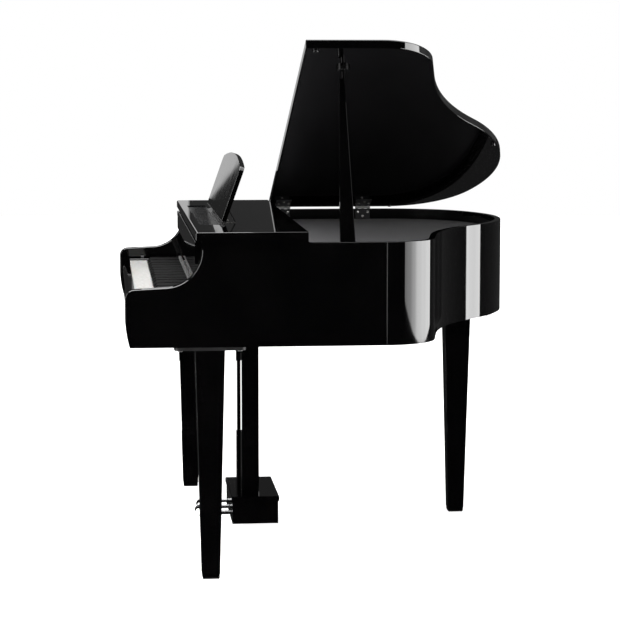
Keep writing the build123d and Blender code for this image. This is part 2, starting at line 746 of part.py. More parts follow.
def lid_prop():
    """Tapered stick with a round tip, bored at its foot for the bracket's pin."""
    half = PROP_W / 2
    tip = PROP_TIP_W / 2
    shoulder = 480.0
    sway = CUP_Y - PROP_Y
    lean = sway - 5.0
    outline = make_face([
        Line((-half, -PROP_T / 2), (half, -PROP_T / 2)),
        Line((half, -PROP_T / 2), (half, 20)),
        Line((half, 20), (lean + tip, shoulder)),
        Line((lean + tip, shoulder), (lean - tip, shoulder)),
        Line((lean - tip, shoulder), (-half, 20)),
        Line((-half, 20), (-half, -PROP_T / 2)),
    ])
    stick = Pos(-PROP_T / 2, 0, 0) * extrude(Plane.YZ * outline, PROP_T)
    long_edges = stick.edges().filter_by(lambda e: abs((e % 0.5).Z) > 0.9 and (e @ 0.5).Z > 100)
    stick = chamfer(long_edges, PROP_EASE)
    rounding = rod_y(0, -PROP_W, PROP_W, 0, PROP_T / 2)
    stick = (stick & block(-PROP_T, PROP_T, -60, 60, 0, shoulder)) + (stick & rounding)
    peg = Pos(0, sway, (shoulder + PROP_LENGTH) / 2 - 2) * Cylinder(tip - 0.2, PROP_LENGTH - shoulder + 4)
    peg = fillet(peg.edges().sort_by(Axis.Z)[-1], 4.0)
    stick = stick + peg
    stick -= Rot(90, 0, 0) * Cylinder(4.05, 60)
    return prop_place() * stick


def prop_bracket():
    """Plate with two ears and a pin, screwed inside the treble side."""
    half = PROP_W / 2 + 1
    ear = 6.0
    reach = half + ear
    inner = HALF_INSIDE - 3.5
    bracket = block(inner, HALF_INSIDE, PROP_Y - reach, PROP_Y + reach, COVER_TOP + 1, RIM_TOP - 2.5)
    for side in (-1, 1):
        y0 = PROP_Y + side * half
        y1 = PROP_Y + side * (half + ear)
        low, high = min(y0, y1), max(y0, y1)
        bracket += block(PROP_X, HALF_INSIDE - 2, low, high, PROP_Z - 9, PROP_Z + 9)
        bracket += rod_y(PROP_X, low, high, PROP_Z, 9.0)
    bracket += rod_y(PROP_X, PROP_Y - half - 3, PROP_Y + half + 3, PROP_Z, 4.0)
    return bracket


# ---------------------------------------------------------------- legs
def leg(x, y):
    """Tapered square leg with a bevel down to its narrower foot."""
    top = CASE_BOTTOM - PLATE_T
    upper = loft([
        Pos(x, y, top) * RectangleRounded(LEG_TOP_W, LEG_TOP_W, 3.0),
        Pos(x, y, LEG_LOW_Z) * RectangleRounded(LEG_LOW_W, LEG_LOW_W, 3.0),
    ])
    bevel = loft([
        Pos(x, y, LEG_LOW_Z) * RectangleRounded(LEG_LOW_W, LEG_LOW_W, 3.0),
        Pos(x, y, FOOT_TOP) * RectangleRounded(FOOT_W + 3, FOOT_W + 3, 3.0),
    ])
    foot = Pos(x, y, PAD_T) * extrude(RectangleRounded(FOOT_W, FOOT_W, 2.0), FOOT_TOP - PAD_T)
    return upper + bevel + foot


def leg_plates():
    """A mounting plate under the case for each leg."""
    parts = []
    for x, y in LEG_SPOTS.values():
        shift = plate_shift(x)
        face = Pos(x + shift, y, 0) * RectangleRounded(PLATE_W, PLATE_W, 14.0)
        parts.append(slab(face, CASE_BOTTOM - PLATE_T, CASE_BOTTOM))
    return parts


def plate_shift(x):
    """The front plates sit inboard of their legs, so that they stay under the case."""
    if abs(x) < 300:
        return 0.0
    return -math.copysign(abs(x) + PLATE_W / 2 - HALF_WIDTH + 2, x)


def leg_bolts():
    """Four dome-headed bolts in each leg plate."""
    parts = []
    offset = PLATE_W / 2 - 16
    for x, y in LEG_SPOTS.values():
        middle = x + plate_shift(x)
        for dx in (-offset, offset):
            for dy in (-offset, offset):
                head = upright(middle + dx, y + dy, CASE_BOTTOM - PLATE_T - 4, CASE_BOTTOM - PLATE_T, 7.0)
                parts.append(fillet(head.edges().sort_by(Axis.Z)[0], 2.0))
    return parts


def foot_pads():
    """Felt-faced pad under each foot."""
    parts = []
    for x, y in LEG_SPOTS.values():
        parts.append(Pos(x, y, 0) * extrude(RectangleRounded(FOOT_W - 2, FOOT_W - 2, 2.0), PAD_T))
    return parts


# ---------------------------------------------------------------- lyre
def lyre_post():
    """Square post from the pedal box up to the case, treble side."""
    post = block(POST_IN, POST_OUT, POST_FRONT, POST_BACK, BOX_TOP + LYRE_LID_T, CASE_BOTTOM)
    return chamfer(post.edges().filter_by(Axis.Z), 1.2)


def pedal_box():
    """Open-topped box with a slot in its front for each pedal."""
    outer = block(-BOX_HALF, BOX_HALF, BOX_FRONT, BOX_BACK, BOX_BOTTOM, BOX_TOP)
    inner = block(
        -BOX_HALF + BOX_WALL, BOX_HALF - BOX_WALL,
        BOX_FRONT + BOX_WALL, BOX_BACK - BOX_WALL,
        BOX_BOTTOM + 6, BOX_TOP + 1,
    )
    box = outer - inner
    for x in PEDAL_XS.values():
        box -= block(x - 15, x + 15, BOX_FRONT - 1, BOX_FRONT + BOX_WALL + 1, PEDAL_Z - 16, PEDAL_Z + 10)
    return box


def pedal_box_top():
    """Board that closes the pedal box and carries the posts."""
    half = BOX_HALF + 4.0
    board = block(-half, half, BOX_FRONT - 3, BOX_BACK + 3, BOX_TOP, BOX_TOP + LYRE_LID_T)
    return fillet(board.faces().sort_by(Axis.Z)[-1].edges(), 2.5)


def pedal_rod():
    """Shaft across the pedal box that the pedals turn on."""
    reach = BOX_HALF - BOX_WALL
    return rod(-reach, reach, PEDAL_PIVOT_Y, PEDAL_Z, PEDAL_ROD_R)


def pedal(x, tip):
    """Flat lever, wider at the player's end, where its rounded toe turns down; boss on the shaft."""
    low = PEDAL_Z - PEDAL_T / 2
    high = PEDAL_Z + PEDAL_T / 2
    toe = 15.0
    outline = make_face([
        ThreePointArc((-toe, tip + 13), (0, tip), (toe, tip + 13)),
        Line((toe, tip + 13), (toe, tip + 42)),
        Line((toe, tip + 42), (11, tip + 90)),
        Line((11, tip + 90), (11, PEDAL_PIVOT_Y)),
        Line((11, PEDAL_PIVOT_Y), (-11, PEDAL_PIVOT_Y)),
        Line((-11, PEDAL_PIVOT_Y), (-11, tip + 90)),
        Line((-11, tip + 90), (-toe, tip + 42)),
        Line((-toe, tip + 42), (-toe, tip + 13)),
    ])
    profile = make_face([
        Line((PEDAL_PIVOT_Y, high), (tip + 14, high)),
        ThreePointArc((tip + 14, high), (tip + 4.1, high - 4.1), (tip, high - 14)),
        Line((tip, high - 14), (tip + 5, high - 14)),
        ThreePointArc((tip + 5, high - 14), (tip + 7.6, high - PEDAL_T + 0.4), (tip + 14, low)),
        Line((tip + 14, low), (PEDAL_PIVOT_Y, low)),
        Line((PEDAL_PIVOT_Y, low), (PEDAL_PIVOT_Y, high)),
    ])
    lever = slab(outline, high - 20, high + 1) & across(profile, -toe - 1, toe + 1)
    boss = rod(-12, 12, PEDAL_PIVOT_Y, PEDAL_Z, 8.5)
    lever = lever + boss - rod(-20, 20, PEDAL_PIVOT_Y, PEDAL_Z, PEDAL_ROD_R + 0.05)
    return Pos(x, 0, 0) * lever


# ---------------------------------------------------------------- electronics
def main_board():
    """Circuit board on spacers, with its larger parts."""
    low = BOTTOM_TOP + 8
    board = block(-240, 40, 520, 660, low, low + 2)
    chips = ((-200, 560, 40, 40, 4), (-120, 580, 60, 30, 8), (-20, 540, 30, 60, 14), (-220, 640, 120, 12, 10))
    for x, y, w, d, h in chips:
        board += block(x, x + w, y, y + d, low + 2, low + 2 + h)
    for x in (-232, 32):
        for y in (528, 652):
            board += upright(x, y, BOTTOM_TOP, low, 4.0)
    return board


def power_supply():
    """Power supply and amplifier in one vented steel box."""
    case = block(160, 340, 520, 650, BOTTOM_TOP, BOTTOM_TOP + 52)
    for n in range(8):
        x = 180 + n * 20
        case -= block(x, x + 6, 540, 630, BOTTOM_TOP + 50, BOTTOM_TOP + 53)
    return case


# ---------------------------------------------------------------- all pieces
def pieces():
    """Every piece by node name, still in the drawing frame."""
    found = {
        "treble_side": treble_side(),
        "bass_side": mirror(treble_side(), Plane.YZ),
        "bent_rim": bent_rim(),
        "bottom_board": bottom_board(),
        "inner_cover": inner_cover(),
        "cover_ledge": cover_ledge(),
        "cross_rail": cross_rail(),
        "top_board": top_board(),
        "control_panel": control_panel(),
        "key_slip": key_slip(),
        "treble_end_block": treble_end_block(),
        "bass_end_block": bass_end_block(),
        "felt_rail": felt_rail(),
        "key_frame": key_frame(),
        "key_rod": key_rod(),
        "main_board": main_board(),
        "power_supply": power_supply(),
        "speakers": speakers(),
        "speaker_grilles": speaker_grilles(),
        "rim_hinge_leaves": rim_hinge_leaves(),
        "lid_hinge_pins": lid_hinge_pins(),
        "prop_bracket": prop_bracket(),
        "leg_plates": leg_plates(),
        "leg_bolts": leg_bolts(),
        "foot_pads": foot_pads(),
        "lyre_posts": [lyre_post(), mirror(lyre_post(), Plane.YZ)],
        "pedal_box": pedal_box(),
        "pedal_box_top": pedal_box_top(),
        "pedal_rod": pedal_rod(),
        "rest_brackets": rest_brackets(),
        "lid": lid(),
        "lid_hinge_leaves": lid_hinge_leaves(),
        "prop_cup": prop_cup(),
        "lid_bumpers": lid_bumpers(),
        "lid_prop": lid_prop(),
        "music_rest": rest_board(),
        "rest_hinge_leaves": rest_hinge_leaves(),
        "rest_struts": rest_struts(),
        "cover_panel": fall_panel(),
        "cover_flap": fall_flap(),
        "power_button": power_button(),
        "volume_slider": volume_slider(),
    }
    for name, (x, y) in LEG_SPOTS.items():
        found[name] = leg(x, y)
    for name, x in PEDAL_XS.items():
        found[name] = pedal(x, PEDAL_TIPS[name])
    for name in WHITE_NAMES:
        found["white_keys_" + name] = keys(name)
    for name in BLACK_NAMES:
        found["black_keys_" + name] = keys(name)
    return found


def middle_y():
    """Middle of the whole piano from front to back, which becomes Y = 0."""
    return (FRONT_REACH + tail_reach() + LID_OVERHANG) / 2


def solids_of(piece):
    """The separate solids of a piece or of a list of pieces."""
    if isinstance(piece, list):
        return [solid for part in piece for solid in part.solids()]
    return list(piece.solids())


def main():
    os.makedirs("parts", exist_ok=True)
    place = Pos(0, -middle_y(), 0)
    for name, piece in pieces().items():
        moved = [place * solid for solid in solids_of(piece)]
        export_step(Compound(moved), f"parts/{name}.step")


if __name__ == "__main__":
    main()
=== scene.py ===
import math

import bmesh
import bpy
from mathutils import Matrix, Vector


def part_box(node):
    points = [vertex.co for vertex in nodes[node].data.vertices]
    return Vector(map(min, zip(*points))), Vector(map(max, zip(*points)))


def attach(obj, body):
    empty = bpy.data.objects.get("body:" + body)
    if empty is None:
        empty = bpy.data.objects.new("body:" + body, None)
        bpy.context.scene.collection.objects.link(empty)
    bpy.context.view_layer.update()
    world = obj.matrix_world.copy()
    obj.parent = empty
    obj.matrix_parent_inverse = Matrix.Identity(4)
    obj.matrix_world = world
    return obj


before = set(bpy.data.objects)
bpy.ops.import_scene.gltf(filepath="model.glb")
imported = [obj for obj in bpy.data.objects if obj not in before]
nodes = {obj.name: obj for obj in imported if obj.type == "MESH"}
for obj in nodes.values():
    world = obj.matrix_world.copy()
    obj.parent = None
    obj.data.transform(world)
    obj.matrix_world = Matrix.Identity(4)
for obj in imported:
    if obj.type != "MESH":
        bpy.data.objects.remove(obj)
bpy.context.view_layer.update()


# ---------------------------------------------------------------- camera
# The piano is seen from its treble side, a little above the top board, with a
# long lens that stands well back, so that the case is drawn almost in profile.
EYE = Vector((6.4617, -0.6464, 1.3598))
EYE_TILT = math.radians(83.73)
EYE_TURN = math.radians(84.56)
LENS_MM = 127.8

camera_data = bpy.data.cameras.new("side_camera")
camera_data.lens = LENS_MM
camera_data.sensor_width = 36.0
camera_data.clip_start = 0.1
camera_data.clip_end = 80.0
camera = bpy.data.objects.new("side_camera", camera_data)
camera.location = EYE
camera.rotation_euler = (EYE_TILT, 0.0, EYE_TURN)
bpy.context.scene.collection.objects.link(camera)
bpy.context.scene.camera = camera
bpy.context.scene.view_settings.view_transform = "Standard"


# ---------------------------------------------------------------- room and light
# A plain pale studio: a smooth white floor, an even white surround, and soft lamps
# that the polished case picks up as bands. Polish sees only a dim room, brightest
# towards the bass side and the tail, so that it stays black where no lamp stands.
ROOM_WHITE = 1.0
ROOM_SEEN_IN_POLISH = 0.038
DARK_FROM_X = 0.35
FULL_FROM_X = -0.6
DARK_FROM_Y = -0.2
FULL_FROM_Y = 0.1
PLAYER_END_SHARE = 0.35
FLOOR_RADIUS = 14.0
FLOOR_WHITE = 0.93
FLOOR_GLOW = 0.9
FLOOR_DROP = 0.0005

world = bpy.data.worlds.new("studio")
bpy.context.scene.world = world
world.use_nodes = True
room = world.node_tree
room.nodes.clear()
surround = room.nodes.new("ShaderNodeBackground")
surround.inputs["Color"].default_value = (1.0, 1.0, 1.0, 1.0)
surround.inputs["Strength"].default_value = ROOM_WHITE
dim_room = room.nodes.new("ShaderNodeBackground")
dim_room.inputs["Strength"].default_value = ROOM_SEEN_IN_POLISH
which_way = room.nodes.new("ShaderNodeTexCoord")
way_parts = room.nodes.new("ShaderNodeSeparateXYZ")
dark_end = room.nodes.new("ShaderNodeMapRange")
dark_end.inputs["From Min"].default_value = DARK_FROM_X
dark_end.inputs["From Max"].default_value = FULL_FROM_X
which_ray = room.nodes.new("ShaderNodeLightPath")
room_mix = room.nodes.new("ShaderNodeMixShader")
room_out = room.nodes.new("ShaderNodeOutputWorld")
room.links.new(which_way.outputs["Generated"], way_parts.inputs[0])
room.links.new(way_parts.outputs["X"], dark_end.inputs["Value"])
player_end = room.nodes.new("ShaderNodeMapRange")
player_end.inputs["From Min"].default_value = DARK_FROM_Y
player_end.inputs["From Max"].default_value = FULL_FROM_Y
player_end.inputs["To Min"].default_value = PLAYER_END_SHARE
both_ways = room.nodes.new("ShaderNodeMath")
both_ways.operation = "MULTIPLY"
room.links.new(way_parts.outputs["Y"], player_end.inputs["Value"])
room.links.new(dark_end.outputs["Result"], both_ways.inputs[0])
room.links.new(player_end.outputs["Result"], both_ways.inputs[1])
room.links.new(both_ways.outputs[0], dim_room.inputs["Color"])
room.links.new(which_ray.outputs["Is Glossy Ray"], room_mix.inputs[0])
room.links.new(surround.outputs[0], room_mix.inputs[1])
room.links.new(dim_room.outputs[0], room_mix.inputs[2])
room.links.new(room_mix.outputs[0], room_out.inputs["Surface"])


def new_mesh_object(name, builder):
    """A new object from a bmesh, linked to the scene."""
    mesh = bpy.data.meshes.new(name)
    builder.to_mesh(mesh)
    builder.free()
    made = bpy.data.objects.new(name, mesh)
    bpy.context.scene.collection.objects.link(made)
    return made


def studio_floor():
    """A round floor, so far across that its edge lies beyond every view."""
    build = bmesh.new()
    bmesh.ops.create_circle(build, cap_ends=True, segments=96, radius=FLOOR_RADIUS)
    floor = new_mesh_object("studio_floor", build)
    floor.location = (0.0, 0.0, -FLOOR_DROP)
    paint = bpy.data.materials.new("floor_paint")
    paint.use_nodes = True
    tree = paint.node_tree
    shader = tree.nodes["Principled BSDF"]
    shader.inputs["Roughness"].default_value = 0.9
    shader.inputs["Specular IOR Level"].default_value = 0.0
    shader.inputs["Emission Color"].default_value = (1.0, 1.0, 1.0, 1.0)
    shader.inputs["Emission Strength"].default_value = FLOOR_GLOW
    mottle = tree.nodes.new("ShaderNodeTexNoise")
    mottle.inputs["Scale"].default_value = 1.2
    tone = tree.nodes.new("ShaderNodeMapRange")
    tone.inputs["To Min"].default_value = FLOOR_WHITE - 0.01
    tone.inputs["To Max"].default_value = FLOOR_WHITE + 0.01
    tree.links.new(mottle.outputs["Fac"], tone.inputs["Value"])
    tree.links.new(tone.outputs["Result"], shader.inputs["Base Color"])
    floor.data.materials.append(paint)
    floor.visible_glossy = False


def soft_panel(name, place, faces, wide, high, bright, steps):
    """A soft lamp at place, turned to face another point. steps are (place across, share
    of full brightness) from its left edge to its right one, as the piano sees it."""
    half_wide = wide / 2
    half_high = high / 2
    build = bmesh.new()
    corners = [
        (-half_wide, -half_high, 0.0), (half_wide, -half_high, 0.0),
        (half_wide, half_high, 0.0), (-half_wide, half_high, 0.0),
    ]
    build.faces.new([build.verts.new(corner) for corner in corners])
    panel = new_mesh_object(name, build)
    panel.location = place
    outward = Vector(place) - Vector(faces)
    panel.rotation_euler = outward.to_track_quat("-Z", "Y").to_euler()
    glow = bpy.data.materials.new(name + "_glow")
    glow.use_nodes = True
    tree = glow.node_tree
    tree.nodes.clear()
    where = tree.nodes.new("ShaderNodeTexCoord")
    split = tree.nodes.new("ShaderNodeSeparateXYZ")
    across = tree.nodes.new("ShaderNodeMapRange")
    across.inputs["From Min"].default_value = -half_wide
    across.inputs["From Max"].default_value = half_wide
    ramp = tree.nodes.new("ShaderNodeValToRGB")
    ramp.color_ramp.interpolation = "EASE"
    elements = ramp.color_ramp.elements
    elements.remove(elements[1])
    for index, (spot, share) in enumerate(steps):
        stop = elements[0] if index == 0 else elements.new(spot)
        stop.position = spot
        stop.color = (share, share, share, 1.0)
    lamp = tree.nodes.new("ShaderNodeEmission")
    lamp.inputs["Strength"].default_value = bright
    out = tree.nodes.new("ShaderNodeOutputMaterial")
    tree.links.new(where.outputs["Object"], split.inputs[0])
    tree.links.new(split.outputs["X"], across.inputs["Value"])
    tree.links.new(across.outputs["Result"], ramp.inputs["Fac"])
    tree.links.new(ramp.outputs["Color"], lamp.inputs["Color"])
    tree.links.new(lamp.outputs[0], out.inputs["Surface"])
    panel.data.materials.append(glow)
    panel.visible_camera = False
    return panel


EVEN = [(0.0, 0.0), (0.06, 1.0), (0.94, 1.0), (1.0, 0.0)]
TAIL_GLOW = [
    (0.0, 0.0), (0.008, 0.6), (0.07, 0.6), (0.227, 0.78), (0.377, 0.96), (0.508, 1.0),
    (0.628, 0.67), (0.781, 0.42), (0.981, 0.31), (1.0, 0.0),
]
FAR_GLOW = [(0.0, 0.25), (0.6, 0.35), (1.0, 1.0)]

# Each row: name, place, point faced, width, height, brightness, glow from side to side.
LAMPS_SEEN_IN_POLISH = [
    ("tail_panel", (1.65, 5.2, 0.85), (1.65, 0.0, 0.85), 8.02, 1.7, 10.5, TAIL_GLOW),
    ("high_panel", (2.615, 5.2, 3.4), (2.615, 0.0, 3.4), 6.09, 3.2, 10.0, EVEN),
    ("far_panel", (-4.5, 5.2, 3.15), (-4.5, 0.0, 3.15), 8.1, 3.7, 0.45, FAR_GLOW),
    ("front_ceiling", (-0.1, -1.8, 4.6), (-0.1, -1.799, 0.0), 6.0, 3.6, 12.0, EVEN),
    ("back_ceiling", (-0.1, 1.7, 4.6), (-0.1, 1.701, 0.0), 6.0, 3.6, 3.7, EVEN),
    ("keyboard_panel", (2.1, -4.2, 2.0), (0.2, -0.3, 2.0), 3.2, 4.0, 7.0, EVEN),
    ("low_panel", (-1.3, -0.31, 0.2), (0.0, -0.31, 0.2), 0.28, 0.25, 1.6, EVEN),
    ("edge_panel", (-3.0, -0.39, 1.22), (0.0, -0.39, 1.22), 0.26, 0.6, 0.6, EVEN),
]
studio_floor()
for lamp_facts in LAMPS_SEEN_IN_POLISH:
    soft_panel(*lamp_facts).visible_diffuse = False
key_lamp = soft_panel("front_panel", (1.2, -2.6, 3.6), (0.2, -0.5, 0.8), 2.0, 2.0, 12.0, EVEN)
key_lamp.visible_glossy = False


# ---------------------------------------------------------------- polished case
# The sides, the bent rim, the cross rail, the blocks at the ends of the keys and the
# slip in front of them are board with a black polyester finish, buffed to a mirror.
# They are glued and screwed to the bottom board at their lower edges.
EBONY = (0.0008, 0.0008, 0.0009, 1.0)


def add_node(tree, kind, **values):
    """A new node in tree, with the named inputs set."""
    node = tree.nodes.new(kind)
    for socket, value in values.items():
        node.inputs[socket.replace("_", " ")].default_value = value
    return node


def new_finish(name, roughness, metallic=0.0):
    """A material with one Principled shader, and the shader itself."""
    material = bpy.data.materials.new(name)
    material.use_nodes = True
    shader = material.node_tree.nodes["Principled BSDF"]
    shader.inputs["Roughness"].default_value = roughness
    shader.inputs["Metallic"].default_value = metallic
    return material, shader


def object_place(tree, stretch=(1.0, 1.0, 1.0)):
    """The object's own coordinates, stretched, as a vector output."""
    where = tree.nodes.new("ShaderNodeTexCoord")
    scaled = tree.nodes.new("ShaderNodeMapping")
    scaled.inputs["Scale"].default_value = stretch
    tree.links.new(where.outputs["Object"], scaled.inputs["Vector"])
    return scaled.outputs["Vector"]


def vary(tree, place, socket, scale, low, high, detail=3.0):
    """Drives a number socket with noise between low and high."""
    noise = add_node(tree, "ShaderNodeTexNoise", Scale=scale, Detail=detail)
    spread = add_node(tree, "ShaderNodeMapRange", To_Min=low, To_Max=high)
    spread.inputs["From Min"].default_value = 0.3
    spread.inputs["From Max"].default_value = 0.7
    tree.links.new(place, noise.inputs["Vector"])
    tree.links.new(noise.outputs["Fac"], spread.inputs["Value"])
    tree.links.new(spread.outputs["Result"], socket)
    return noise


def tint(tree, place, shader, scale, dark, light, detail=4.0):
    """Drives the base colour with noise between two colours."""
    noise = add_node(tree, "ShaderNodeTexNoise", Scale=scale, Detail=detail)
    ramp = tree.nodes.new("ShaderNodeValToRGB")
    ramp.color_ramp.elements[0].position = 0.35
    ramp.color_ramp.elements[0].color = dark
    ramp.color_ramp.elements[1].position = 0.65
    ramp.color_ramp.elements[1].color = light
    tree.links.new(place, noise.inputs["Vector"])
    tree.links.new(noise.outputs["Fac"], ramp.inputs["Fac"])
    tree.links.new(ramp.outputs["Color"], shader.inputs["Base Color"])
    return ramp


def bumps(tree, shader, height, distance, strength=1.0):
    """Joins a height output to the shader as a bump of the given depth in metres."""
    bump = add_node(tree, "ShaderNodeBump", Strength=strength, Distance=distance)
    tree.links.new(height, bump.inputs["Height"])
    tree.links.new(bump.outputs["Normal"], shader.inputs["Normal"])
    return bump


def polished_ebony():
    """Deep black polyester: mirror gloss, faint buffing haze and the slow ripple of a poured coat."""
    material, shader = new_finish("polished_ebony", 0.05)
    tree = material.node_tree
    place = object_place(tree)
    tint(tree, place, shader, 9.0, EBONY, (0.0014, 0.0013, 0.0014, 1.0))
    vary(tree, place, shader.inputs["Roughness"], 14.0, 0.02, 0.05)
    ripple = add_node(tree, "ShaderNodeTexNoise", Scale=22.0, Detail=1.0)
    tree.links.new(place, ripple.inputs["Vector"])
    bumps(tree, shader, ripple.outputs["Fac"], 0.00003, 0.6)
    return material


def paint_node(name, material):
    """Puts a finish on every slot of a CAD node."""
    for slot in nodes[name].material_slots:
        slot.material = material


ebony = polished_ebony()
for board in ("treble_side", "bass_side", "bent_rim", "cross_rail", "key_slip"):
    paint_node(board, ebony)
for block in ("treble_end_block", "bass_end_block"):
    paint_node(block, ebony)


# ---------------------------------------------------------------- under boards
# The bottom board and the ledge that carries the inner cover are fibre board,
# sprayed satin black. They show only from below and through the slots.
def sprayed_board():
    """Satin black spray over fibre board, with the board's fine nap in it."""
    material, shader = new_finish("sprayed_board", 0.45)
    tree = material.node_tree
    place = object_place(tree)
    tint(tree, place, shader, 60.0, (0.006, 0.006, 0.006, 1.0), (0.011, 0.011, 0.011, 1.0))
    vary(tree, place, shader.inputs["Roughness"], 25.0, 0.4, 0.58)
    nap = add_node(tree, "ShaderNodeTexNoise", Scale=420.0, Detail=2.0)
    tree.links.new(place, nap.inputs["Vector"])
    bumps(tree, shader, nap.outputs["Fac"], 0.0002, 0.5)
    return material


board_black = sprayed_board()
for board in ("bottom_board", "cover_ledge"):
    paint_node(board, board_black)


# ---------------------------------------------------------------- inner cover
# A matt black board lies where a string frame would be, below the top of the rim,
# and hides the speakers. It is covered in a thin black cloth.
def speaker_cloth():
    """Fine black cloth, woven at about a millimetre, drawn flat over a board."""
    material, shader = new_finish("speaker_cloth", 0.55)
    tree = material.node_tree
    place = object_place(tree)
    tint(tree, place, shader, 7.0, (0.019, 0.018, 0.021, 1.0), (0.027, 0.026, 0.030, 1.0))
    shader.inputs["Sheen Weight"].default_value = 0.15
    shader.inputs["Sheen Roughness"].default_value = 0.4
    weave = add_node(tree, "ShaderNodeTexWave", Scale=500.0)
    weave.bands_direction = "X"
    weft = add_node(tree, "ShaderNodeTexWave", Scale=500.0)
    weft.bands_direction = "Y"
    both = tree.nodes.new("ShaderNodeMath")
    both.operation = "MULTIPLY"
    tree.links.new(place, weave.inputs["Vector"])
    tree.links.new(place, weft.inputs["Vector"])
    tree.links.new(weave.outputs["Fac"], both.inputs[0])
    tree.links.new(weft.outputs["Fac"], both.inputs[1])
    bumps(tree, shader, both.outputs[0], 0.0003, 0.5)
    return material


paint_node("inner_cover", speaker_cloth())


# ---------------------------------------------------------------- top board and controls
# The top board closes the case over the keys. It has the same polish, a shallow
# well under the music rest, and a dark glass strip of touch controls let into it.
def smoked_panel():
    """Black glass over the controls, etched so that it is a little duller than the polish."""
    material, shader = new_finish("smoked_panel", 0.2)
    tree = material.node_tree
    place = object_place(tree)
    tint(tree, place, shader, 5.0, (0.004, 0.004, 0.005, 1.0), (0.007, 0.007, 0.008, 1.0))
    vary(tree, place, shader.inputs["Roughness"], 30.0, 0.16, 0.24)
    return material


paint_node("top_board", ebony)
paint_node("control_panel", smoked_panel())


# ---------------------------------------------------------------- key cover
# The key cover is a board that stands behind the keys, with a narrow flap hinged
# along its top edge. Both are polished all over.
for board in ("cover_panel", "cover_flap"):
    paint_node(board, ebony)


# ---------------------------------------------------------------- keys
# Eighty eight keys of moulded plastic on a steel rod. The white ones are glossy
# and just off white, the black ones are matt with a fine grain for grip.
def white_key_plastic():
    """Off-white acrylic, glossy, a little see-through at its edges."""
    material, shader = new_finish("white_key_plastic", 0.2)
    tree = material.node_tree
    place = object_place(tree)
    tint(tree, place, shader, 8.0, (0.76, 0.75, 0.72, 1.0), (0.80, 0.79, 0.765, 1.0))
    vary(tree, place, shader.inputs["Roughness"], 90.0, 0.14, 0.26)
    shader.inputs["Subsurface Weight"].default_value = 0.08
    shader.inputs["Subsurface Scale"].default_value = 0.002
    return material


def black_key_plastic():
    """Matt black plastic with the fine grain of an imitation-ebony key."""
    material, shader = new_finish("black_key_plastic", 0.42)
    shader.inputs["Specular IOR Level"].default_value = 0.2
    tree = material.node_tree
    place = object_place(tree, (1.0, 0.08, 1.0))
    tint(tree, place, shader, 900.0, (0.002, 0.002, 0.0022, 1.0), (0.0045, 0.0043, 0.0045, 1.0))
    vary(tree, place, shader.inputs["Roughness"], 500.0, 0.34, 0.52)
    grain = add_node(tree, "ShaderNodeTexNoise", Scale=1400.0, Detail=2.0)
    tree.links.new(place, grain.inputs["Vector"])
    bumps(tree, shader, grain.outputs["Fac"], 0.00012, 0.5)
    return material


white_plastic = white_key_plastic()
black_plastic = black_key_plastic()
for note in "abcdefg":
    paint_node("white_keys_" + note, white_plastic)
for note in "acdfg":
    paint_node("black_keys_" + note + "_sharp", black_plastic)


# ---------------------------------------------------------------- felt
# A strip of near-black felt lies behind the keys, and square pads of grey felt are
# glued under the legs.
def pressed_felt(name, dark, light):
    """Pressed wool felt: no weave, short fibres lying all ways, soft sheen."""
    material, shader = new_finish(name, 0.95)
    tree = material.node_tree
    place = object_place(tree)
    tint(tree, place, shader, 260.0, dark, light, 6.0)
    shader.inputs["Sheen Weight"].default_value = 0.1
    shader.inputs["Sheen Roughness"].default_value = 0.5
    fibres = add_node(tree, "ShaderNodeTexNoise", Scale=900.0, Detail=6.0, Roughness=0.8)
    tree.links.new(place, fibres.inputs["Vector"])
    bumps(tree, shader, fibres.outputs["Fac"], 0.0006, 0.8)
    return material


paint_node("felt_rail", pressed_felt("key_felt", (0.005, 0.004, 0.004, 1.0), (0.009, 0.007, 0.007, 1.0)))
paint_node("foot_pads", pressed_felt("foot_felt", (0.02, 0.02, 0.02, 1.0), (0.05, 0.05, 0.05, 1.0)))


# ---------------------------------------------------------------- key frame and inner works
# Behind the keys are a moulded frame, its steel rod, the main circuit board, a
# power supply in a coated steel case and the speakers under their grilles.
def moulded_plastic():
    """Dark grey moulded plastic with a fine spark-eroded grain."""
    material, shader = new_finish("moulded_plastic", 0.5)
    tree = material.node_tree
    place = object_place(tree)
    tint(tree, place, shader, 40.0, (0.014, 0.014, 0.015, 1.0), (0.022, 0.022, 0.023, 1.0))
    vary(tree, place, shader.inputs["Roughness"], 200.0, 0.42, 0.6)
    grain = add_node(tree, "ShaderNodeTexVoronoi", Scale=1600.0)
    tree.links.new(place, grain.inputs["Vector"])
    bumps(tree, shader, grain.outputs["Distance"], 0.0001, 0.4)
    return material


def bare_steel():
    """Ground steel with light scratches along it."""
    material, shader = new_finish("bare_steel", 0.3, 1.0)
    tree = material.node_tree
    place = object_place(tree, (1.0, 12.0, 12.0))
    tint(tree, place, shader, 60.0, (0.42, 0.42, 0.43, 1.0), (0.56, 0.56, 0.57, 1.0))
    vary(tree, place, shader.inputs["Roughness"], 120.0, 0.22, 0.4)
    return material


def satin_nickel():
    """Brushed nickel plate, with fine lines one way."""
    material, shader = new_finish("satin_nickel", 0.28, 1.0)
    tree = material.node_tree
    place = object_place(tree, (40.0, 1.0, 1.0))
    tint(tree, place, shader, 30.0, (0.52, 0.51, 0.49, 1.0), (0.68, 0.67, 0.65, 1.0))
    brushed = vary(tree, place, shader.inputs["Roughness"], 90.0, 0.2, 0.38)
    bumps(tree, shader, brushed.outputs["Fac"], 0.00003, 0.4)
    return material


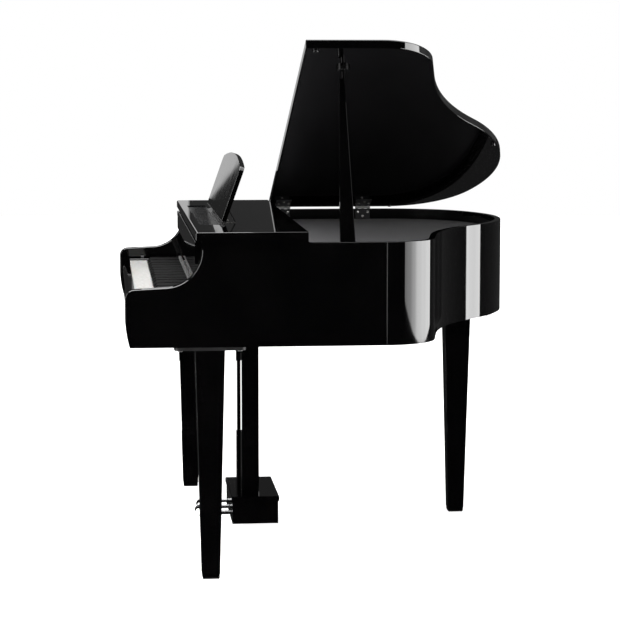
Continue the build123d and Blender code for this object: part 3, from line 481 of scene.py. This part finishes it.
def powder_coat():
    """Black powder coat on steel, with its fine orange-peel texture."""
    material, shader = new_finish("powder_coat", 0.42)
    tree = material.node_tree
    place = object_place(tree)
    tint(tree, place, shader, 30.0, (0.010, 0.010, 0.010, 1.0), (0.016, 0.016, 0.016, 1.0))
    vary(tree, place, shader.inputs["Roughness"], 120.0, 0.34, 0.5)
    peel = add_node(tree, "ShaderNodeTexNoise", Scale=900.0, Detail=2.0)
    tree.links.new(place, peel.inputs["Vector"])
    bumps(tree, shader, peel.outputs["Fac"], 0.00025, 0.5)
    return material


def circuit_board_green():
    """Green solder mask over copper tracks."""
    material, shader = new_finish("circuit_board_green", 0.35)
    tree = material.node_tree
    place = object_place(tree)
    tracks = add_node(tree, "ShaderNodeTexBrick", Scale=60.0)
    tracks.inputs["Color1"].default_value = (0.01, 0.075, 0.03, 1.0)
    tracks.inputs["Color2"].default_value = (0.012, 0.095, 0.04, 1.0)
    tracks.inputs["Mortar"].default_value = (0.02, 0.16, 0.06, 1.0)
    tree.links.new(place, tracks.inputs["Vector"])
    tree.links.new(tracks.outputs["Color"], shader.inputs["Base Color"])
    vary(tree, place, shader.inputs["Roughness"], 80.0, 0.28, 0.45)
    return material


def speaker_paper():
    """Black pressed-paper cone with its fibre showing."""
    material, shader = new_finish("speaker_paper", 0.75)
    tree = material.node_tree
    place = object_place(tree)
    tint(tree, place, shader, 200.0, (0.012, 0.012, 0.012, 1.0), (0.028, 0.028, 0.027, 1.0))
    fibre = add_node(tree, "ShaderNodeTexNoise", Scale=500.0, Detail=5.0)
    tree.links.new(place, fibre.inputs["Vector"])
    bumps(tree, shader, fibre.outputs["Fac"], 0.0004, 0.6)
    return material


plastic = moulded_plastic()
steel = bare_steel()
nickel = satin_nickel()
powder = powder_coat()
for part in ("key_frame", "power_button", "volume_slider"):
    paint_node(part, plastic)
for part in ("key_rod", "pedal_rod", "leg_bolts", "lid_hinge_pins"):
    paint_node(part, steel)
for part in ("power_supply", "speaker_grilles", "leg_plates"):
    paint_node(part, powder)
paint_node("main_board", circuit_board_green())
paint_node("speakers", speaker_paper())


# ---------------------------------------------------------------- lid, hinges and prop
# The lid is one polished board on two butt hinges at the bass side, each leaf held
# by three round-headed screws. A long stick on a pivot in the treble side holds it
# up, its tip in a small cup on the lid.
PIN_END = 0.025
LEAF_FACE = 0.0022
KNUCKLE_R = 0.0042
# Width of the painted highlight on the hinge knuckles: within this band around the pin the base colour
# turns light.
KNUCKLE_HIGHLIGHT_BAND = 0.0006
SCREW_R = 0.0042
SCREW_RISE = 0.0024
LID_LEAF_SCREWS = ((0.032, -0.016), (0.032, 0.016), (0.050, 0.0))
RIM_LEAF_SCREWS = ((0.0155, -0.016), (0.0155, 0.016), (0.0295, 0.0))
pins_low, pins_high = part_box("lid_hinge_pins")
pin_x = (pins_low[0] + pins_high[0]) / 2
pin_z = (pins_low[2] + pins_high[2]) / 2


def black_rubber():
    """Black rubber, moulded smooth, with a slight shine and faint dust in a random mottle."""
    material, shader = new_finish("black_rubber", 0.3)
    tree = material.node_tree
    place = object_place(tree)
    tint(tree, place, shader, 300.0, (0.003, 0.003, 0.003, 1.0), (0.006, 0.006, 0.006, 1.0))
    vary(tree, place, shader.inputs["Roughness"], 150.0, 0.12, 0.24)
    return material


def blackened_nickel():
    """Satin black nickel on the hinge leaves, with a painted highlight: the knuckles are coloured bright
    where they turn.
    """
    material, shader = new_finish("blackened_nickel", 0.4)
    tree = material.node_tree
    place = object_place(tree, (40.0, 1.0, 1.0))
    dark = tint(tree, place, shader, 20.0, (0.032, 0.032, 0.034, 1.0), (0.044, 0.044, 0.046, 1.0))
    vary(tree, place, shader.inputs["Roughness"], 60.0, 0.34, 0.46)
    where = tree.nodes.new("ShaderNodeTexCoord")
    from_pin = add_node(tree, "ShaderNodeVectorMath")
    from_pin.operation = "SUBTRACT"
    from_pin.inputs[1].default_value = (pin_x, 0.0, pin_z)
    flattened = add_node(tree, "ShaderNodeVectorMath")
    flattened.operation = "MULTIPLY"
    flattened.inputs[1].default_value = (1.0, 0.0, 1.0)
    away = add_node(tree, "ShaderNodeVectorMath")
    away.operation = "LENGTH"
    # Painted highlight: within this band of the pin axis, the knuckles' surface is coloured light grey
    # instead of the dark leaf colour.
    knuckle_highlight = add_node(tree, "ShaderNodeMapRange", From_Min=KNUCKLE_R + KNUCKLE_HIGHLIGHT_BAND, From_Max=KNUCKLE_R)
    bright = tree.nodes.new("ShaderNodeMix")
    bright.data_type = "RGBA"
    bright.inputs[7].default_value = (0.55, 0.55, 0.54, 1.0)
    tree.links.new(where.outputs["Object"], from_pin.inputs[0])
    tree.links.new(from_pin.outputs["Vector"], flattened.inputs[0])
    tree.links.new(flattened.outputs["Vector"], away.inputs[0])
    tree.links.new(away.outputs["Value"], knuckle_highlight.inputs["Value"])
    tree.links.new(knuckle_highlight.outputs["Result"], bright.inputs[0])
    tree.links.new(dark.outputs["Color"], bright.inputs[6])
    tree.links.new(bright.outputs[2], shader.inputs["Base Color"])
    return material


def screw_plating():
    """Bright nickel on the screw heads, slightly uneven in its shine."""
    material, shader = new_finish("screw_plating", 0.2, 0.5)
    tree = material.node_tree
    place = object_place(tree)
    tint(tree, place, shader, 90.0, (0.74, 0.73, 0.71, 1.0), (0.86, 0.85, 0.83, 1.0))
    vary(tree, place, shader.inputs["Roughness"], 300.0, 0.14, 0.28)
    return material


def dome_screw(name, seat, outward, body):
    """A round-headed cross-slot screw seated at a point, with its head towards outward."""
    rings = 7
    around = 28
    slot_half = SCREW_R * 0.13
    slot_reach = SCREW_R * 0.55
    slot_depth = SCREW_RISE * 0.35
    centre_height = SCREW_RISE * 0.6
    build = bmesh.new()
    rows = []
    for ring in range(rings):
        angle = math.pi / 2 * ring / rings
        row = []
        for step in range(around):
            turn = 2 * math.pi * step / around
            x = SCREW_R * math.cos(angle) * math.cos(turn)
            y = SCREW_R * math.cos(angle) * math.sin(turn)
            z = SCREW_RISE * math.sin(angle)
            in_slot = min(abs(x), abs(y)) < slot_half and math.hypot(x, y) < slot_reach
            row.append(build.verts.new((x, y, z - (slot_depth if in_slot else 0.0))))
        rows.append(row)
    for lower, upper in zip(rows, rows[1:]):
        for step in range(around):
            after = (step + 1) % around
            build.faces.new((lower[step], lower[after], upper[after], upper[step]))
    top = build.verts.new((0.0, 0.0, centre_height))
    under = build.verts.new((0.0, 0.0, 0.0))
    for step in range(around):
        after = (step + 1) % around
        build.faces.new((rows[-1][step], rows[-1][after], top))
        build.faces.new((rows[0][after], rows[0][step], under))
    screw = new_mesh_object(name, build)
    screw.data.polygons.foreach_set("use_smooth", [True] * len(screw.data.polygons))
    screw.location = seat
    screw.rotation_euler = outward.to_track_quat("Z", "Y").to_euler()
    screw.data.materials.append(screw_bright)
    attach(screw, body)


rubber = black_rubber()
leaf_finish = blackened_nickel()
screw_bright = screw_plating()
paint_node("lid", ebony)
paint_node("lid_prop", ebony)
for part in ("lid_hinge_leaves", "rim_hinge_leaves"):
    paint_node(part, leaf_finish)
paint_node("prop_bracket", powder)
for part in ("lid_bumpers", "prop_cup"):
    paint_node(part, rubber)

lid_turn = nodes["lid"].matrix_world.to_3x3()
widest_face = max(nodes["lid"].data.polygons, key=lambda face: face.area)
lid_up = (lid_turn @ widest_face.normal).normalized()
if lid_up.z < 0:
    lid_up = -lid_up
lid_along = Vector((lid_up.z, 0.0, -lid_up.x))
leaf_face_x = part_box("rim_hinge_leaves")[0][0] + LEAF_FACE
for hinge, centre in enumerate((pins_low[1] + PIN_END, pins_high[1] - PIN_END)):
    pin = Vector((pin_x, centre, pin_z))
    for number, (out, side) in enumerate(LID_LEAF_SCREWS):
        seat = pin + lid_along * out + lid_up * LEAF_FACE + Vector((0.0, side, 0.0))
        dome_screw("lid_hinge_screw_%d_%d" % (hinge, number), seat, -lid_up, "lid")
    for number, (down, side) in enumerate(RIM_LEAF_SCREWS):
        seat = Vector((leaf_face_x, centre + side, pin_z - down))
        dome_screw("rim_hinge_screw_%d_%d" % (hinge, number), seat, Vector((1.0, 0.0, 0.0)), "case")


# ---------------------------------------------------------------- music rest
# The music rest is a thin polished board with an arched top. It leans back on
# two steel struts and folds flat into the top board on two small hinges.
paint_node("music_rest", ebony)
for part in ("rest_brackets", "rest_hinge_leaves"):
    paint_node(part, nickel)
paint_node("rest_struts", powder)


# ---------------------------------------------------------------- legs
# Three square legs of polished board taper to the floor, each bolted up into a
# steel plate under the bottom board.
for leg in ("front_leg_treble", "front_leg_bass", "rear_leg"):
    paint_node(leg, ebony)


# ---------------------------------------------------------------- pedals
# Three plated pedals rock on a rod in a polished box, which hangs from the
# bottom board on two square posts.
def pedal_plating():
    """Bright chrome plate with hairline wear from shoes."""
    material, shader = new_finish("pedal_plating", 0.12, 1.0)
    tree = material.node_tree
    place = object_place(tree, (1.0, 0.15, 1.0))
    tint(tree, place, shader, 40.0, (0.72, 0.72, 0.73, 1.0), (0.84, 0.84, 0.85, 1.0))
    vary(tree, place, shader.inputs["Roughness"], 300.0, 0.08, 0.22)
    return material


chrome = pedal_plating()
for board in ("lyre_posts", "pedal_box", "pedal_box_top"):
    paint_node(board, ebony)
for pedal in ("soft_pedal", "sostenuto_pedal", "damper_pedal"):
    paint_node(pedal, chrome)
